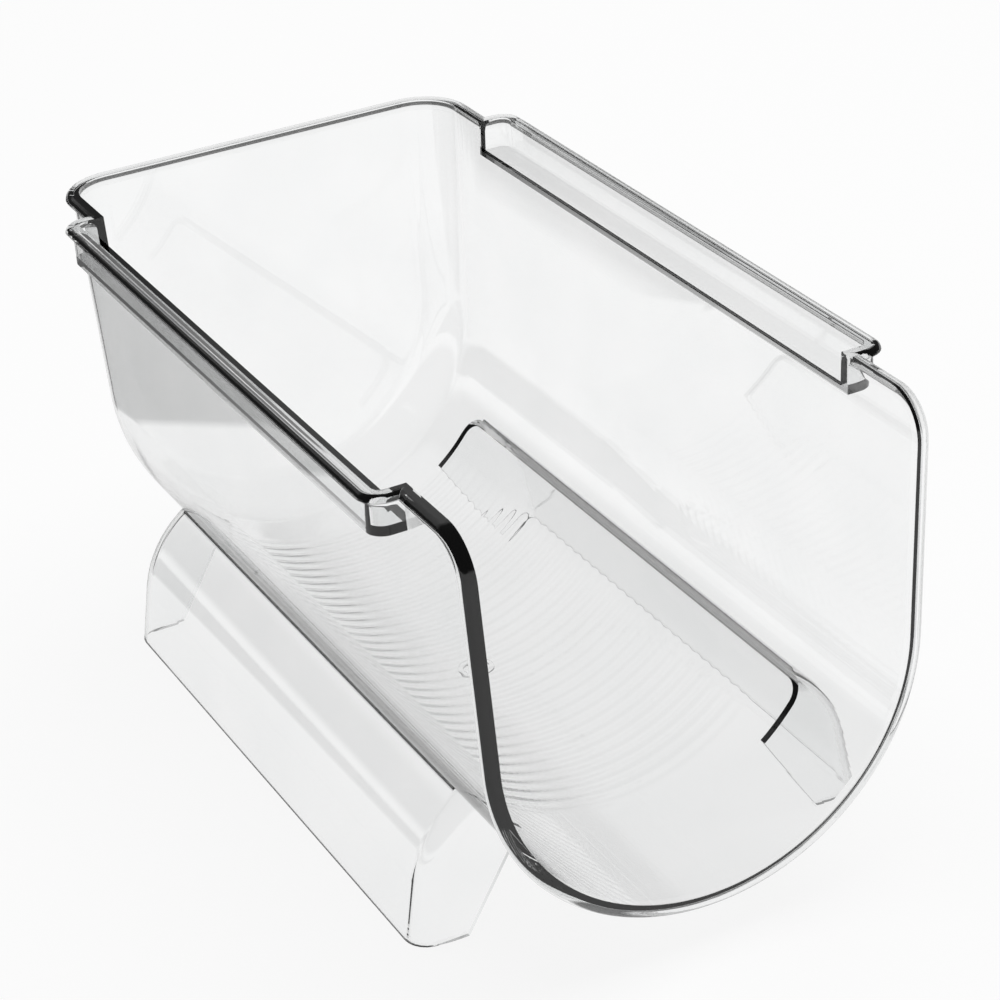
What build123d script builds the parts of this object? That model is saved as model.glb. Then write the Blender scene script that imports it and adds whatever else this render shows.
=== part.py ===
from build123d import *
import math
import os

# Clear stackable bottle organizer: a U-shaped trough on two feet, with a stacking rail along each side.
# It is one moulding, divided here into the walls that its mould forms. They meet face to face.
# X runs across, Y from the open front to the closed back, Z up, in millimetres.
# The origin is on the ground, in the middle of the outline seen from above.

# Overall sizes
overall_length = 300.0
overall_height = 154.0
opening_width = 138.2
floor_height = 16.7

# Walls and rim
wall = 2.4
draft_angle = 2.3
bead_radius = 2.4
back_corner_radius = 14.0
front_corner_radius = 11.5

# The seam between floor and back wall lies this share of the way from the rail's end to the back
back_seam_share = 5 / 9

# Stacking rails: a ledge along each side, with an upright lip outside it and a wall across each end
rail_length = 222.6
rail_width = 9.8
rail_depth = 10.6
rail_corner_radius = 3.0

# Feet: a long curved wall under each side, with a flange turned inwards at each end
foot_length = 218.0
foot_clearance = 0.3
foot_slope = 10.0
foot_knee_height = 20.0
foot_root_height = 46.0
foot_corner_radius = 8.0
flange_width = 17.6
flange_slope = 32.0

# Grip ribs across the floor, and the ring left where the plastic flows in
rib_pitch = 5.85
rib_width = 2.4
rib_height = 0.35
rib_spread = 45.0
rib_front_margin = 56.0
rib_back_margin = 40.0
gate_radius = 5.2
gate_ring_width = 1.5
gate_ring_height = 0.5

# Levels and places that follow from them
draft_sin = math.sin(math.radians(draft_angle))
draft_cos = math.cos(math.radians(draft_angle))
draft_tan = draft_sin / draft_cos
bead_width = 2 * bead_radius
bead_level = overall_height - bead_radius
wall_top = bead_level - bead_radius
half_opening = opening_width / 2
trough_drop = half_opening - (bead_level - floor_height) * draft_tan
trough_radius = trough_drop * draft_cos / (1 - draft_sin)
trough_axis_height = floor_height + trough_radius
tangent_height = trough_axis_height - trough_radius * draft_sin
front_edge = bead_width - overall_length / 2
back_face = overall_length / 2 - bead_width
ledge_top = overall_height - rail_depth
ledge_underside = ledge_top - wall
rail_end = rail_length / 2
rail_outer_end = rail_end + wall
lip_inner = half_opening - (bead_level - ledge_top) * draft_tan + rail_width
lip_outer = lip_inner + wall
back_seam_y = rail_outer_end + back_seam_share * (back_face - rail_outer_end)

# How far the shapes that cut, and the foot's root, run on past the faces where they end
overrun = 15.0

# Directions of the drafted side wall on the right: out of its face, up along it, and the trough's own axis
side_normal = Vector(draft_cos, 0, -draft_sin)
side_up = Vector(draft_sin, 0, draft_cos)
trough_axis = Axis((0, 0, trough_axis_height), (0, 1, 0))

os.makedirs("parts", exist_ok=True)


def save(piece, name):
    """Labels a finished piece and writes it."""
    piece.part.label = name
    export_step(piece.part, f"parts/{name}.step")


def save_both_sides(piece, name):
    """Writes a piece of the right side, and its mirror image for the left side."""
    save(piece, "right_" + name)
    with BuildPart() as mirrored:
        mirror(piece.part, about=Plane.YZ)
    save(mirrored, "left_" + name)


def half_width(level, outset):
    """Half the trough's width at a level, on its inner face or so far outside it."""
    return half_opening - (bead_level - level) * draft_tan + outset / draft_cos


def trough_plug(outset, past):
    """The trough's filled shape, on its inner face or so far outside it.

    It runs that far past the rim and the open front, to cut with.
    """
    radius = trough_radius + outset
    top = wall_top + past
    front = front_edge - past
    tangent_x = radius * draft_cos
    tangent_z = trough_axis_height - radius * draft_sin
    lowest = (0, trough_axis_height - radius)
    top_x = half_width(top, outset)
    back = Plane(origin=(0, back_face + outset / draft_cos, bead_level), z_dir=(0, draft_cos, -draft_sin))
    with BuildPart() as plug:
        with BuildSketch(Plane.XZ.offset(-front)):
            with BuildLine():
                Line((tangent_x, tangent_z), (top_x, top))
                Line((top_x, top), (-top_x, top))
                Line((-top_x, top), (-tangent_x, tangent_z))
                ThreePointArc((-tangent_x, tangent_z), lowest, (tangent_x, tangent_z))
            make_face()
        extrude(amount=-overall_length - 2 * past)
        split(bisect_by=back, keep=Keep.BOTTOM)
        back_edges = plug.faces().sort_by(Axis.Y)[-1].edges().sort_by(Axis.Z)[:-1]
        fillet(back_edges, radius=back_corner_radius + outset)
    return plug.part


def bead_section(origin, outward, along):
    """Section of the rim bead, flush with the wall's inner face, which the origin lies on."""
    overhang = bead_width - wall
    quarter = math.sqrt(0.5)
    with BuildSketch(Plane(origin=origin, x_dir=outward, z_dir=along)) as section:
        with BuildLine():
            Line((0, -bead_radius), (0, 0))
            ThreePointArc((0, 0), (bead_radius, bead_radius), (bead_width, 0))
            ThreePointArc(
                (bead_width, 0),
                (wall + overhang * quarter, -bead_radius * quarter),
                (wall, -bead_radius),
            )
            Line((wall, -bead_radius), (0, -bead_radius))
        make_face()
    return section.sketch


def foot_line(inset):
    """Points of a line down the foot, so far inside its outer face, from the trough to the ground."""
    normal = Vector(math.cos(math.radians(foot_slope)), math.sin(math.radians(foot_slope)))
    ground = Vector(lip_inner - foot_clearance, 0)
    knee = ground + Vector(-math.tan(math.radians(foot_slope)), 1) * foot_knee_height
    outer_radius = trough_radius + wall
    root_drop = trough_axis_height - foot_root_height
    root = Vector(math.sqrt(outer_radius**2 - root_drop**2), foot_root_height)
    chord = knee - root
    bend_radius = chord.length**2 / (2 * chord.dot(normal))
    bend_centre = knee - normal * bend_radius
    root_normal = (root - bend_centre).normalized()
    middle_normal = (root_normal + normal).normalized()
    root_tangent = Vector(-root_normal.Y, root_normal.X)
    return {
        "inside": bend_centre + root_normal * (bend_radius - inset) + root_tangent * overrun,
        "root": bend_centre + root_normal * (bend_radius - inset),
        "bend": bend_centre + middle_normal * (bend_radius - inset),
        "knee": knee - normal * inset,
        "ground": ground - Vector(inset / normal.X, 0),
    }


def foot_block(inset, ends, inner_points, corner_radius):
    """The foot's filled shape behind a line so far inside its outer face, with rounded upright corners."""
    line = foot_line(inset)
    with BuildPart() as block:
        with BuildSketch(Plane.XZ.offset(ends)):
            with BuildLine():
                Line(line["ground"], line["knee"])
                ThreePointArc(line["knee"], line["bend"], line["root"])
                Line(line["root"], line["inside"])
                Polyline(line["inside"], *inner_points, line["ground"])
            make_face()
        extrude(amount=-2 * ends)
        fillet(block.edges().filter_by(GeomType.CIRCLE), radius=corner_radius)
    return block.part


def rail_block(outset):
    """The rail's filled shape inside its lip and end walls, or so far outside them."""
    outer_side = lip_inner + outset
    with BuildPart() as block:
        with BuildSketch(Plane.XY.offset(ledge_underside)):
            with Locations((outer_side / 2, 0)):
                outline = Rectangle(outer_side, rail_length + 2 * outset)
            fillet(outline.vertices().group_by(Axis.X)[-1], radius=rail_corner_radius + outset)
        extrude(amount=wall_top - ledge_underside)
        add(cavity, mode=Mode.SUBTRACT)
    return block.part


# Trough: one shell, open at the front and at the top
cavity = trough_plug(0, overrun)
outer_shape = trough_plug(wall, 0)
with BuildPart() as shell:
    add(outer_shape)
    front_top_edge = shell.edges().filter_by(Axis.X).group_by(Axis.Y)[0].sort_by(Axis.Z)[-1]
    fillet(front_top_edge, radius=front_corner_radius - bead_radius)
    add(cavity, mode=Mode.SUBTRACT)

middle_level = Plane.XY.offset(tangent_height)
ledge_level = Plane.XY.offset(ledge_underside)
back_end = Plane.XZ.offset(-rail_outer_end)
front_end = Plane.XZ.offset(rail_outer_end)
corner_x = half_width(tangent_height, 0) - back_corner_radius
back_seam = Plane(origin=(0, back_seam_y, bead_level), z_dir=(0, draft_cos, -draft_sin))

with BuildPart() as trough_floor:
    add(shell.part)
    split(bisect_by=middle_level, keep=Keep.BOTTOM)
    split(bisect_by=back_end, keep=Keep.TOP)
save(trough_floor, "trough_floor")

with BuildPart() as side_wall:
    add(shell.part)
    split(bisect_by=Plane.YZ, keep=Keep.TOP)
    split(bisect_by=middle_level, keep=Keep.TOP)
    split(bisect_by=ledge_level, keep=Keep.BOTTOM)
    split(bisect_by=back_end, keep=Keep.TOP)
save_both_sides(side_wall, "side_wall")

with BuildPart() as front_shoulder:
    add(shell.part)
    split(bisect_by=Plane.YZ, keep=Keep.TOP)
    split(bisect_by=ledge_level, keep=Keep.TOP)
    split(bisect_by=front_end, keep=Keep.TOP)
save_both_sides(front_shoulder, "front_shoulder")

with BuildPart() as back_part:
    add(shell.part)
    split(bisect_by=back_end, keep=Keep.BOTTOM)

with BuildPart() as back_corner:
    add(back_part.part)
    split(bisect_by=Plane.YZ.offset(corner_x), keep=Keep.TOP)
    split(bisect_by=middle_level, keep=Keep.TOP)
save_both_sides(back_corner, "back_corner")

with BuildPart() as back_middle:
    add(back_part.part)
    with BuildSketch(middle_level):
        with GridLocations(2 * corner_x + opening_width, 0, 2, 1):
            Rectangle(opening_width, 2 * overall_length)
    extrude(amount=overall_height, mode=Mode.SUBTRACT)

with BuildPart() as back_floor:
    add(back_middle.part)
    split(bisect_by=back_seam, keep=Keep.BOTTOM)
save(back_floor, "back_floor")

with BuildPart() as back_wall:
    add(back_middle.part)
    split(bisect_by=back_seam, keep=Keep.TOP)
save(back_wall, "back_wall")

# Stacking rails
with BuildPart() as ledge:
    add(rail_block(0))
    split(bisect_by=Plane.XY.offset(ledge_top), keep=Keep.BOTTOM)
save_both_sides(ledge, "ledge")

with BuildPart() as rail_walls:
    add(rail_block(wall))
    add(rail_block(0), mode=Mode.SUBTRACT)

lip_back_end = Plane.XZ.offset(rail_corner_radius - rail_end)
lip_front_end = Plane.XZ.offset(rail_end - rail_corner_radius)

with BuildPart() as lip:
    add(rail_walls.part)
    split(bisect_by=lip_back_end, keep=Keep.TOP)
    split(bisect_by=lip_front_end, keep=Keep.BOTTOM)
save_both_sides(lip, "lip")

with BuildPart() as rail_front_wall:
    add(rail_walls.part)
    split(bisect_by=lip_front_end, keep=Keep.TOP)
save_both_sides(rail_front_wall, "rail_front_wall")

with BuildPart() as rail_back_wall:
    add(rail_walls.part)
    split(bisect_by=lip_back_end, keep=Keep.BOTTOM)
save_both_sides(rail_back_wall, "rail_back_wall")

# Directions for the rim bead
right = Vector(1, 0, 0)
backward = Vector(0, 1, 0)
forward = Vector(0, -1, 0)
downward = Vector(0, 0, -1)

# Rim bead round the open front: the curved stretch, then up each side and round its corner to the rail
front_bead_y = front_edge - bead_radius
front_turn_y = front_bead_y + front_corner_radius
rim_point = Vector(half_opening, 0, bead_level)
turn_point = rim_point - side_up * front_corner_radius
side_bead_drop = (bead_level - tangent_height) / draft_cos - front_corner_radius
back_mitre = Plane(origin=(half_opening, rail_end, bead_level), z_dir=(1, -1, 0))
front_mitre = Plane(origin=(half_opening, -rail_end, bead_level), z_dir=(1, 1, 0))

with BuildPart() as front_bead:
    section = bead_section((trough_radius * draft_cos, front_bead_y, tangent_height), side_normal, -side_up)
    revolve(section, axis=trough_axis, revolution_arc=180 - 2 * draft_angle)
save(front_bead, "front_bead")

with BuildPart() as front_side_bead:
    section = bead_section(rim_point + forward * rail_end, side_normal, forward)
    extrude(section, amount=-front_turn_y - rail_end)
    split(bisect_by=front_mitre, keep=Keep.BOTTOM)
    section = bead_section(rim_point + backward * front_turn_y, side_normal, forward)
    revolve(section, axis=Axis(turn_point + backward * front_turn_y, side_normal), revolution_arc=90)
    section = bead_section(turn_point + backward * front_bead_y, side_normal, -side_up)
    extrude(section, amount=side_bead_drop)
    add(shell.part, mode=Mode.SUBTRACT)
    add(rail_walls.part, mode=Mode.SUBTRACT)
save_both_sides(front_side_bead, "front_bead")

# Rim bead along the back wall, and round each back corner to the rail
turn_x = half_opening - back_corner_radius
turn_y = back_face - back_corner_radius

with BuildPart() as back_bead:
    section = bead_section((-turn_x, back_face, bead_level), backward, right)
    extrude(section, amount=2 * turn_x)
save(back_bead, "back_bead")

with BuildPart() as back_corner_bead:
    section = bead_section((half_opening, turn_y, bead_level), right, forward)
    extrude(section, amount=turn_y - rail_end)
    split(bisect_by=back_mitre, keep=Keep.BOTTOM)
    section = bead_section((turn_x, back_face, bead_level), backward, right)
    revolve(section, axis=Axis((turn_x, turn_y, 0), downward), revolution_arc=90)
save_both_sides(back_corner_bead, "back_corner_bead")

# Rim bead on the rails: along each lip, and over each end wall with its corner
lip_turn_x = lip_inner - rail_corner_radius
lip_turn_y = rail_end - rail_corner_radius

with BuildPart() as lip_bead:
    section = bead_section((lip_inner, lip_turn_y, bead_level), right, forward)
    extrude(section, amount=2 * lip_turn_y)
save_both_sides(lip_bead, "lip_bead")

with BuildPart() as rail_back_bead:
    section = bead_section((half_opening, rail_end, bead_level), backward, right)
    extrude(section, amount=lip_turn_x - half_opening)
    split(bisect_by=back_mitre, keep=Keep.TOP)
    section = bead_section((lip_turn_x, rail_end, bead_level), backward, right)
    revolve(section, axis=Axis((lip_turn_x, lip_turn_y, 0), downward), revolution_arc=90)
save_both_sides(rail_back_bead, "rail_back_bead")

with BuildPart() as rail_front_bead:
    mirror(rail_back_bead.part, about=Plane.XZ)
save_both_sides(rail_front_bead, "rail_front_bead")

# Feet
foot_end = foot_length / 2
flange_foot = Vector(lip_inner - foot_clearance - flange_width, 0)
flange_top = flange_foot + Vector(-math.tan(math.radians(flange_slope)), 1) * foot_root_height
hollow_top = (0, foot_line(wall)["inside"].Y)
hollow = foot_block(wall, foot_end - wall, [hollow_top, (0, 0)], foot_corner_radius - wall)

with BuildPart() as foot:
    add(foot_block(0, foot_end, [flange_top, flange_foot], foot_corner_radius))
    add(hollow, mode=Mode.SUBTRACT)
    add(outer_shape, mode=Mode.SUBTRACT)

foot_back_end = Plane.XZ.offset(foot_corner_radius - foot_end)
foot_front_end = Plane.XZ.offset(foot_end - foot_corner_radius)

with BuildPart() as foot_wall:
    add(foot.part)
    split(bisect_by=foot_back_end, keep=Keep.TOP)
    split(bisect_by=foot_front_end, keep=Keep.BOTTOM)
save_both_sides(foot_wall, "foot_wall")

with BuildPart() as foot_front_flange:
    add(foot.part)
    split(bisect_by=foot_front_end, keep=Keep.TOP)
save_both_sides(foot_front_flange, "foot_front_flange")

with BuildPart() as foot_back_flange:
    add(foot.part)
    split(bisect_by=foot_back_end, keep=Keep.BOTTOM)
save_both_sides(foot_back_flange, "foot_back_flange")

# Grip ribs: low rounded ridges across the floor, each a separate solid
first_rib = rib_front_margin - overall_length / 2
rib_count = int((overall_length - rib_front_margin - rib_back_margin) / rib_pitch) + 1
spread_sin = math.sin(math.radians(rib_spread))
spread_cos = math.cos(math.radians(rib_spread))

with BuildPart() as floor_ribs:
    for index in range(rib_count):
        rib_y = first_rib + index * rib_pitch
        rib_start = Plane(
            origin=(0, rib_y, trough_axis_height),
            x_dir=(0, 1, 0),
            z_dir=(-spread_cos, 0, -spread_sin),
        )
        with BuildSketch(rib_start):
            with BuildLine():
                Line((rib_width / 2, trough_radius), (-rib_width / 2, trough_radius))
                ThreePointArc(
                    (-rib_width / 2, trough_radius),
                    (0, trough_radius - rib_height),
                    (rib_width / 2, trough_radius),
                )
            make_face()
        revolve(axis=trough_axis, revolution_arc=2 * rib_spread)
save(floor_ribs, "floor_ribs")

# Ring under the middle of the floor, where the plastic flows into the mould
with BuildPart() as gate_ring:
    with BuildSketch(Plane.XY.offset(floor_height - wall - gate_ring_height)):
        Circle(gate_radius)
        Circle(gate_radius - gate_ring_width, mode=Mode.SUBTRACT)
    extrude(amount=wall)
    add(outer_shape, mode=Mode.SUBTRACT)
save(gate_ring, "gate_ring")
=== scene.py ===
import math
from types import SimpleNamespace

import bmesh
import bpy
from mathutils import Matrix, Vector


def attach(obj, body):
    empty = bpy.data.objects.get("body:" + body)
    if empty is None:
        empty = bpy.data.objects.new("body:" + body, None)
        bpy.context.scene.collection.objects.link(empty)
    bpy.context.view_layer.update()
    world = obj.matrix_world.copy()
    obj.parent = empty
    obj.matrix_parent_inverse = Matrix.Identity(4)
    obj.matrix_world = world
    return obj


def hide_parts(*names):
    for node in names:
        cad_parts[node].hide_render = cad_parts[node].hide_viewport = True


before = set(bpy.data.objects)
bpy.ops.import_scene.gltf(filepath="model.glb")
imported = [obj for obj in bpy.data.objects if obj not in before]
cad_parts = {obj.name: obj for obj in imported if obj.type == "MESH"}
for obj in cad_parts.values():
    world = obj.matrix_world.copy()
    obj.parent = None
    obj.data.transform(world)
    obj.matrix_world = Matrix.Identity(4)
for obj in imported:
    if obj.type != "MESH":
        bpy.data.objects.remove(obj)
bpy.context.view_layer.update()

bl_info = {
    "name": "Clear Bottle Organizer",
    "version": (1, 0, 0),
    "blender": (4, 5, 0),
    "location": "3D View > Sidebar > Organizer",
    "description": "Models a clear stackable bottle organizer and the pale stage it stands on",
    "category": "Add Mesh",
}

# A closeness for finding points, edges and faces by their place, in metres
NEAR = 0.00002

# Two faces that meet at more than this make a sharp edge
SHARP_ANGLE = math.radians(30)

# How much more the large faces count than the small ones in the smooth shading of an edge between them
LARGE_FACE_WEIGHT = 100

# Steps of the round forms
RING_CORNERS = 32
TROUGH_STEPS = 96
BACK_CORNER_STEPS = 12
FRONT_CORNER_STEPS = 10
RAIL_CORNER_STEPS = 8
FOOT_BEND_STEPS = 14
FOOT_CORNER_STEPS = 6
GROUND_ROUND_STEPS = 4
WAVE_STEPS = 8
FILLET_STEPS = 5
GATE_STEPS = 48

# The walls run up into the bead by this share of its radius, which leaves its inner edge nearly square
RIM_SHARE = 0.96

# The bead is round above its middle by this share of its radius, and hollowed into the wall below it
HOLLOW_SHARE = 0.1
HOLLOW_STEPS = 6

# How suddenly the ribs end at their sides
RIB_END_POWER = 8

# How far a shape that cuts runs on past what it cuts, in metres
OVERRUN = 0.015

# Points this near to each other are joined, in metres: in general, and where stretches of the rim meet
SAME_PLACE = 0.000002
RIM_JOINT = 0.00015

# How far inside a foot's outer face the edges of its stepped bend may lie, in metres
BEND_MARGIN = 0.0001

# How strongly clear polystyrene bends light, and how fast light that is led along inside a wall fades
REFRACTION = 1.59
FADING = 4.0

# The plastic's faint flow lines, about 30 mm apart
FLOW_SCALE = 33.0
FLOW_DETAIL = 2.0
FLOW_ROUGHNESS = 0.4

# The floor's width, the parts that it is divided into each way and its distance below the feet, in metres
FLOOR_WIDTH = 6
FLOOR_DIVISIONS = 4
FLOOR_DROP = 0.0002

# The paper on the floor: its roughness, and the share of plain white in what the camera sees of it
PAPER_ROUGHNESS = 0.9
PAPER_WHITE_SHARE = 0.9

# Painted reflection: how bright the plastic mirrors the paper, and how dark it mirrors a painted patch on
# the paper past its far left corner, which the camera sees white
MIRRORED_PAPER = 0.88
PAINTED_DARK_REFLECTION = 0.1

# The painted dark reflection patch lies where y is greater than x by the first of these, and left of the
# second, in metres.
# Each is the start and the end of a soft edge.
DARK_REFLECTION_LEAD = (0.364, 0.373)
DARK_REFLECTION_LEFT = (-0.09, -0.11)

# The soft lamp's place, its size and its tilt, in metres and radians, and its power in watts
LAMP_PLACE = (0.3, 0.2, 1.6)
LAMP_SIZE = 1.6
LAMP_TILT = 0.15
LAMP_POWER = 26

# How bright the room is: at the table's level, above it, and on the upper part of its back wall
ROOM_AT_TABLE = 0.9
ROOM_ABOVE = 0.1
ROOM_BACK_WALL = 0.5

# Where these turn into each other, as soft edges in the direction of sight: two up and one to the back
ABOVE_TABLE = (0.05, 0.12)
UPPER_PART = (0.38, 0.46)
BACK_PART = (0.62, 0.74)

# The camera's place, and its own right, down and ahead, found from the object's corners in the photo
CAMERA_PLACE = (-0.360365, -0.767283, 0.53123)
CAMERA_RIGHT = (0.88232662, -0.46633299, -0.06350813)
CAMERA_DOWN = (-0.27073819, -0.39254576, -0.87898161)
CAMERA_AHEAD = (0.38496828, 0.79274294, -0.47260772)
CAMERA_LENS = 109.33
CAMERA_SENSOR = 36
CAMERA_REACH = 30

# How many walls light passes, and how many times it is mirrored inside them before it is lost
WALLS_PASSED = 24
MIRRORED_TIMES = 5


class TroughSizes(bpy.types.PropertyGroup):
    """Sizes of the trough and its rim."""

    overall_length: bpy.props.FloatProperty(
        name="Overall length",
        description="From the front of the rim to the back of the rim",
        default=0.3,
        unit="LENGTH",
    )
    overall_height: bpy.props.FloatProperty(
        name="Overall height",
        description="From the ground to the top of the rim",
        default=0.154,
        unit="LENGTH",
    )
    opening_width: bpy.props.FloatProperty(
        name="Opening width",
        description="Between the inner faces of the two sides, at the rim",
        default=0.1382,
        unit="LENGTH",
    )
    floor_height: bpy.props.FloatProperty(
        name="Floor height",
        description="The lowest line of the trough's inner face above the ground",
        default=0.0167,
        unit="LENGTH",
    )
    wall: bpy.props.FloatProperty(
        name="Wall",
        description="Thickness of every wall",
        default=0.0024,
        unit="LENGTH",
    )
    draft: bpy.props.FloatProperty(
        name="Draft",
        description="Slope of the sides and the back, so that the moulding leaves its mould",
        default=math.radians(2.3),
        subtype="ANGLE",
    )
    bead_radius: bpy.props.FloatProperty(
        name="Bead radius",
        description="Radius of the round bead along the rim",
        default=0.0024,
        unit="LENGTH",
    )
    back_corner: bpy.props.FloatProperty(
        name="Back corner",
        description="Radius inside, where the sides and the floor turn into the back",
        default=0.014,
        unit="LENGTH",
    )
    front_corner: bpy.props.FloatProperty(
        name="Front corner",
        description="Radius of the rim where it turns down at the open front",
        default=0.0115,
        unit="LENGTH",
    )


class RailSizes(bpy.types.PropertyGroup):
    """Sizes of the stacking rail along each side."""

    length: bpy.props.FloatProperty(
        name="Length",
        description="Between the rail's two end walls",
        default=0.2226,
        unit="LENGTH",
    )
    width: bpy.props.FloatProperty(
        name="Width",
        description="Of the ledge, from the trough's side to the lip",
        default=0.0098,
        unit="LENGTH",
    )
    depth: bpy.props.FloatProperty(
        name="Depth",
        description="From the top of the rim down to the ledge",
        default=0.0106,
        unit="LENGTH",
    )
    corner: bpy.props.FloatProperty(
        name="Corner",
        description="Radius inside the rail's corners",
        default=0.003,
        unit="LENGTH",
    )


class FootSizes(bpy.types.PropertyGroup):
    """Sizes of the two feet."""

    length: bpy.props.FloatProperty(
        name="Length",
        description="Of each foot, from front to back",
        default=0.218,
        unit="LENGTH",
    )
    clearance: bpy.props.FloatProperty(
        name="Clearance",
        description="Between a foot and the lip of the organizer below",
        default=0.0003,
        unit="LENGTH",
    )
    slope: bpy.props.FloatProperty(
        name="Slope",
        description="How far the straight lower part leans in",
        default=math.radians(10),
        subtype="ANGLE",
    )
    knee_height: bpy.props.FloatProperty(
        name="Knee height",
        description="Where the straight lower part turns into the bend",
        default=0.02,
        unit="LENGTH",
    )
    root_height: bpy.props.FloatProperty(
        name="Root height",
        description="Where the foot meets the trough",
        default=0.046,
        unit="LENGTH",
    )
    corner: bpy.props.FloatProperty(
        name="Corner",
        description="Radius outside, where the foot turns into its end flanges",
        default=0.008,
        unit="LENGTH",
    )
    flange_width: bpy.props.FloatProperty(
        name="Flange width",
        description="Of each end flange, on the ground",
        default=0.0176,
        unit="LENGTH",
    )
    flange_slope: bpy.props.FloatProperty(
        name="Flange slope",
        description="How far the flange's free edge leans in",
        default=math.radians(32),
        subtype="ANGLE",
    )
    ground_round: bpy.props.FloatProperty(
        name="Ground round",
        description="Radius along the edges that stand on the ground",
        default=0.0009,
        unit="LENGTH",
    )
    root_fillet: bpy.props.FloatProperty(
        name="Root fillet",
        description="Radius where the foot's outer face springs from the trough",
        default=0.0012,
        unit="LENGTH",
    )
    root_sink: bpy.props.FloatProperty(
        name="Root sink",
        description="How deep the fillet is set into the two walls that it joins",
        default=0.0004,
        unit="LENGTH",
    )


class GripSizes(bpy.types.PropertyGroup):
    """Sizes of the grip ribs on the floor and of the ring under it."""

    pitch: bpy.props.FloatProperty(
        name="Pitch",
        description="From one rib to the next",
        default=0.00585,
        unit="LENGTH",
    )
    rib_height: bpy.props.FloatProperty(
        name="Rib height",
        description="Of a rib over the hollows beside it, in the middle",
        default=0.00025,
        unit="LENGTH",
    )
    spread: bpy.props.FloatProperty(
        name="Spread",
        description="How far round the trough a rib reaches on each side",
        default=math.radians(45),
        subtype="ANGLE",
    )
    front_margin: bpy.props.FloatProperty(
        name="Front margin",
        description="From the front of the rim to the first rib",
        default=0.056,
        unit="LENGTH",
    )
    back_margin: bpy.props.FloatProperty(
        name="Back margin",
        description="From the last rib to the back of the rim",
        default=0.040,
        unit="LENGTH",
    )
    gate_radius: bpy.props.FloatProperty(
        name="Gate ring radius",
        description="Of the ring where the plastic flowed into the mould",
        default=0.0052,
        unit="LENGTH",
    )
    gate_width: bpy.props.FloatProperty(
        name="Gate ring width",
        description="Thickness of that ring",
        default=0.0015,
        unit="LENGTH",
    )
    gate_height: bpy.props.FloatProperty(
        name="Gate ring height",
        description="How far that ring stands out below the floor",
        default=0.0005,
        unit="LENGTH",
    )


class FinishColours(bpy.types.PropertyGroup):
    """Colours of the plastic and of the stage."""

    plastic: bpy.props.StringProperty(
        name="Plastic",
        description="Tint of the clear plastic, as an sRGB hex value",
        default="#FFFFFF",
    )
    plastic_flow: bpy.props.StringProperty(
        name="Flow lines",
        description="Tint of the plastic along its faint flow lines, as an sRGB hex value",
        default="#F7F8F8",
    )
    depth: bpy.props.StringProperty(
        name="Depth",
        description="Tint of the plastic seen along a wall, as an sRGB hex value",
        default="#595A5A",
    )
    floor: bpy.props.StringProperty(
        name="Floor",
        description="Colour of the floor, as an sRGB hex value",
        default="#F2F2F2",
    )


def linear_colour(hex_value):
    """The linear colour, with alpha, of an sRGB hex value."""
    channels = [int(hex_value[start:start + 2], 16) / 255 for start in (1, 3, 5)]
    linear = [c / 12.92 if c <= 0.04045 else ((c + 0.055) / 1.055) ** 2.4 for c in channels]
    return (*linear, 1.0)


def deselect():
    """Leaves edit mode with nothing selected."""
    if bpy.context.mode != "OBJECT":
        bpy.ops.object.mode_set(mode="OBJECT")
    bpy.ops.object.select_all(action="DESELECT")


def activate(piece):
    """Makes a piece the only selected one, in object mode."""
    deselect()
    piece.select_set(True)
    bpy.context.view_layer.objects.active = piece


def name_new(name):
    """Names the primitive that was just added, with its place put into its mesh, and opens it."""
    piece = bpy.context.active_object
    piece.name = name
    piece.data.name = name
    bpy.ops.object.transform_apply(location=True, rotation=True, scale=True)
    bpy.ops.object.mode_set(mode="EDIT")
    bpy.ops.mesh.select_all(action="SELECT")
    return piece


def middle_of(part):
    """The middle of a vertex, an edge or a face."""
    if isinstance(part, bmesh.types.BMVert):
        return part.co
    if isinstance(part, bmesh.types.BMEdge):
        return (part.verts[0].co + part.verts[1].co) / 2
    return part.calc_center_median()


def pick(piece, kind, test):
    """Selects only the vertices, edges or faces whose middle passes a test."""
    bpy.ops.mesh.select_mode(type=kind)
    bpy.ops.mesh.select_all(action="DESELECT")
    mesh = bmesh.from_edit_mesh(piece.data)
    parts = {"VERT": mesh.verts, "EDGE": mesh.edges, "FACE": mesh.faces}[kind]
    chosen = [part for part in parts if test(middle_of(part))]
    if not chosen:
        raise RuntimeError(f"{piece.name}: nothing to pick")
    for part in chosen:
        part.select_set(True)
    bmesh.update_edit_mesh(piece.data)


def extrude(value):
    """Extrudes what is selected by a vector."""
    bpy.ops.mesh.extrude_region_move(TRANSFORM_OT_translate={"value": tuple(value)})


def turn(centre, axis, angle, steps):
    """Sweeps what is selected round an axis, by the right-hand rule."""
    bpy.ops.mesh.spin(steps=steps, angle=angle, center=tuple(centre), axis=tuple(-Vector(axis)))


def bevel(radius, steps):
    """Rounds the selected edges."""
    bpy.ops.mesh.bevel(
        offset_type="OFFSET",
        offset=radius,
        segments=steps,
        profile=0.5,
        affect="EDGES",
        clamp_overlap=False,
    )


def cut_off(point, normal, fill):
    """Cuts away all that lies on the side of a plane that its normal points to."""
    bpy.ops.mesh.select_all(action="SELECT")
    bpy.ops.mesh.bisect(plane_co=tuple(point), plane_no=tuple(normal), use_fill=fill, clear_outer=True)


def close_up():
    """Fills every hole, turns all faces outwards and leaves edit mode."""
    bpy.ops.mesh.select_all(action="SELECT")
    bpy.ops.mesh.fill_holes(sides=0)
    bpy.ops.mesh.select_all(action="SELECT")
    bpy.ops.mesh.normals_make_consistent(inside=False)
    bpy.ops.object.mode_set(mode="OBJECT")


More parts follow.
